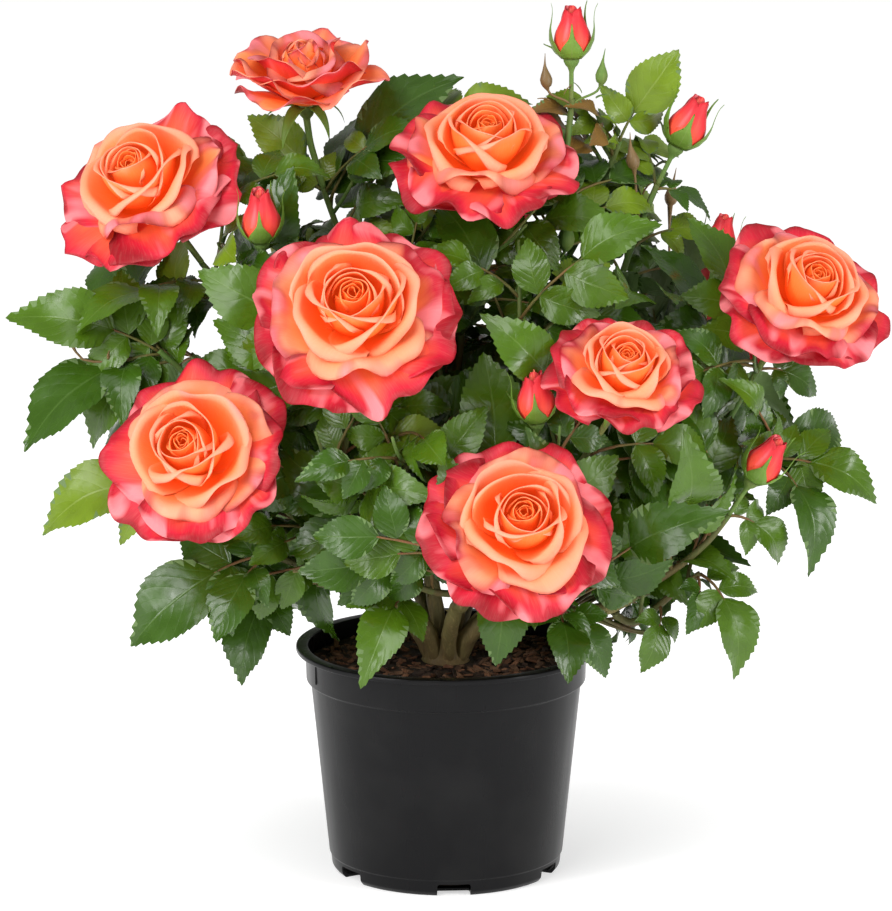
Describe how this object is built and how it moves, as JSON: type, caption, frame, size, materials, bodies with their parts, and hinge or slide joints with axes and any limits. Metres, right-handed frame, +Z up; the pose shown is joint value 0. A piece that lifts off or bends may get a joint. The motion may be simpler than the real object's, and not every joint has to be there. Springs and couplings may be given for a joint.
{
  "type": "potted rose bush",
  "caption": "Bushy garden rose with open two-tone blooms and buds over compound leaves, rooted in a round tapered nursery pot that stands on its flat underside.",
  "frame": {"origin": "centre of the pot's flat underside", "axes": "+Z up, -Y towards the front of the plant, +X to the right seen from the front"},
  "size_m": [0.543, 0.4139, 0.5397],
  "materials": {
    "pot": "black injection-moulded polypropylene with a satin surface",
    "soil": "moist peat-free compost topped with fine bark chips",
    "bark": "woody canes, brown and grey at the foot and greener upwards, with prickles",
    "foliage": "glossy dark green toothed leaflets on green stems, younger leaves yellower or reddish",
    "petals": "soft velvety petals, apricot orange at the heart and coral pink to crimson at their edges"
  },
  "bodies": {
    "root": {"pot": "pot", "soil": "soil", "bud_union": "bark", "cane_left": "bark", "cane_front_left": "bark", "cane_front": "bark", "cane_low_right": "bark", "cane_right": "bark", "cane_back_right": "bark", "cane_back_left": "bark", "cane_centre": "bark", "cane_tall": "bark", "shoot_upper_left": "foliage", "shoot_top_left": "foliage", "shoot_top_middle": "foliage", "shoot_front_middle": "foliage", "shoot_front_left": "foliage", "shoot_front_right": "foliage", "shoot_front_low": "foliage", "shoot_far_right": "foliage", "shoot_top_bud": "foliage", "shoot_right_bud": "foliage", "shoot_low_bud": "foliage", "shoot_left": "foliage", "shoot_low_left": "foliage", "shoot_bottom_left": "foliage", "shoot_rim_left": "foliage", "shoot_rim_front": "foliage", "shoot_rim_right": "foliage", "shoot_right": "foliage", "shoot_bottom_right": "foliage", "shoot_top_leaves": "foliage", "shoot_upper_middle": "foliage", "shoot_middle": "foliage", "shoot_upper_front": "foliage", "shoot_back_top": "foliage", "shoot_back_left": "foliage", "shoot_back_right": "foliage", "shoot_left_back": "foliage", "shoot_right_back": "foliage", "shoot_low_back_left": "foliage", "shoot_low_back_right": "foliage", "bloom_upper_left": "petals", "bloom_top_left": "petals", "bloom_top_middle": "petals", "bloom_front_middle": "petals", "bloom_front_left": "petals", "bloom_front_right": "petals", "bloom_front_low": "petals", "bloom_far_right": "petals", "bloom_back_top": "petals", "bloom_back_left": "petals", "bloom_back_right": "petals", "bud_top": "petals", "bud_right": "petals", "bud_low": "petals", "bud_upper_left": "petals", "bud_front": "petals", "bud_far_right": "petals"}
  },
  "joints": []
}
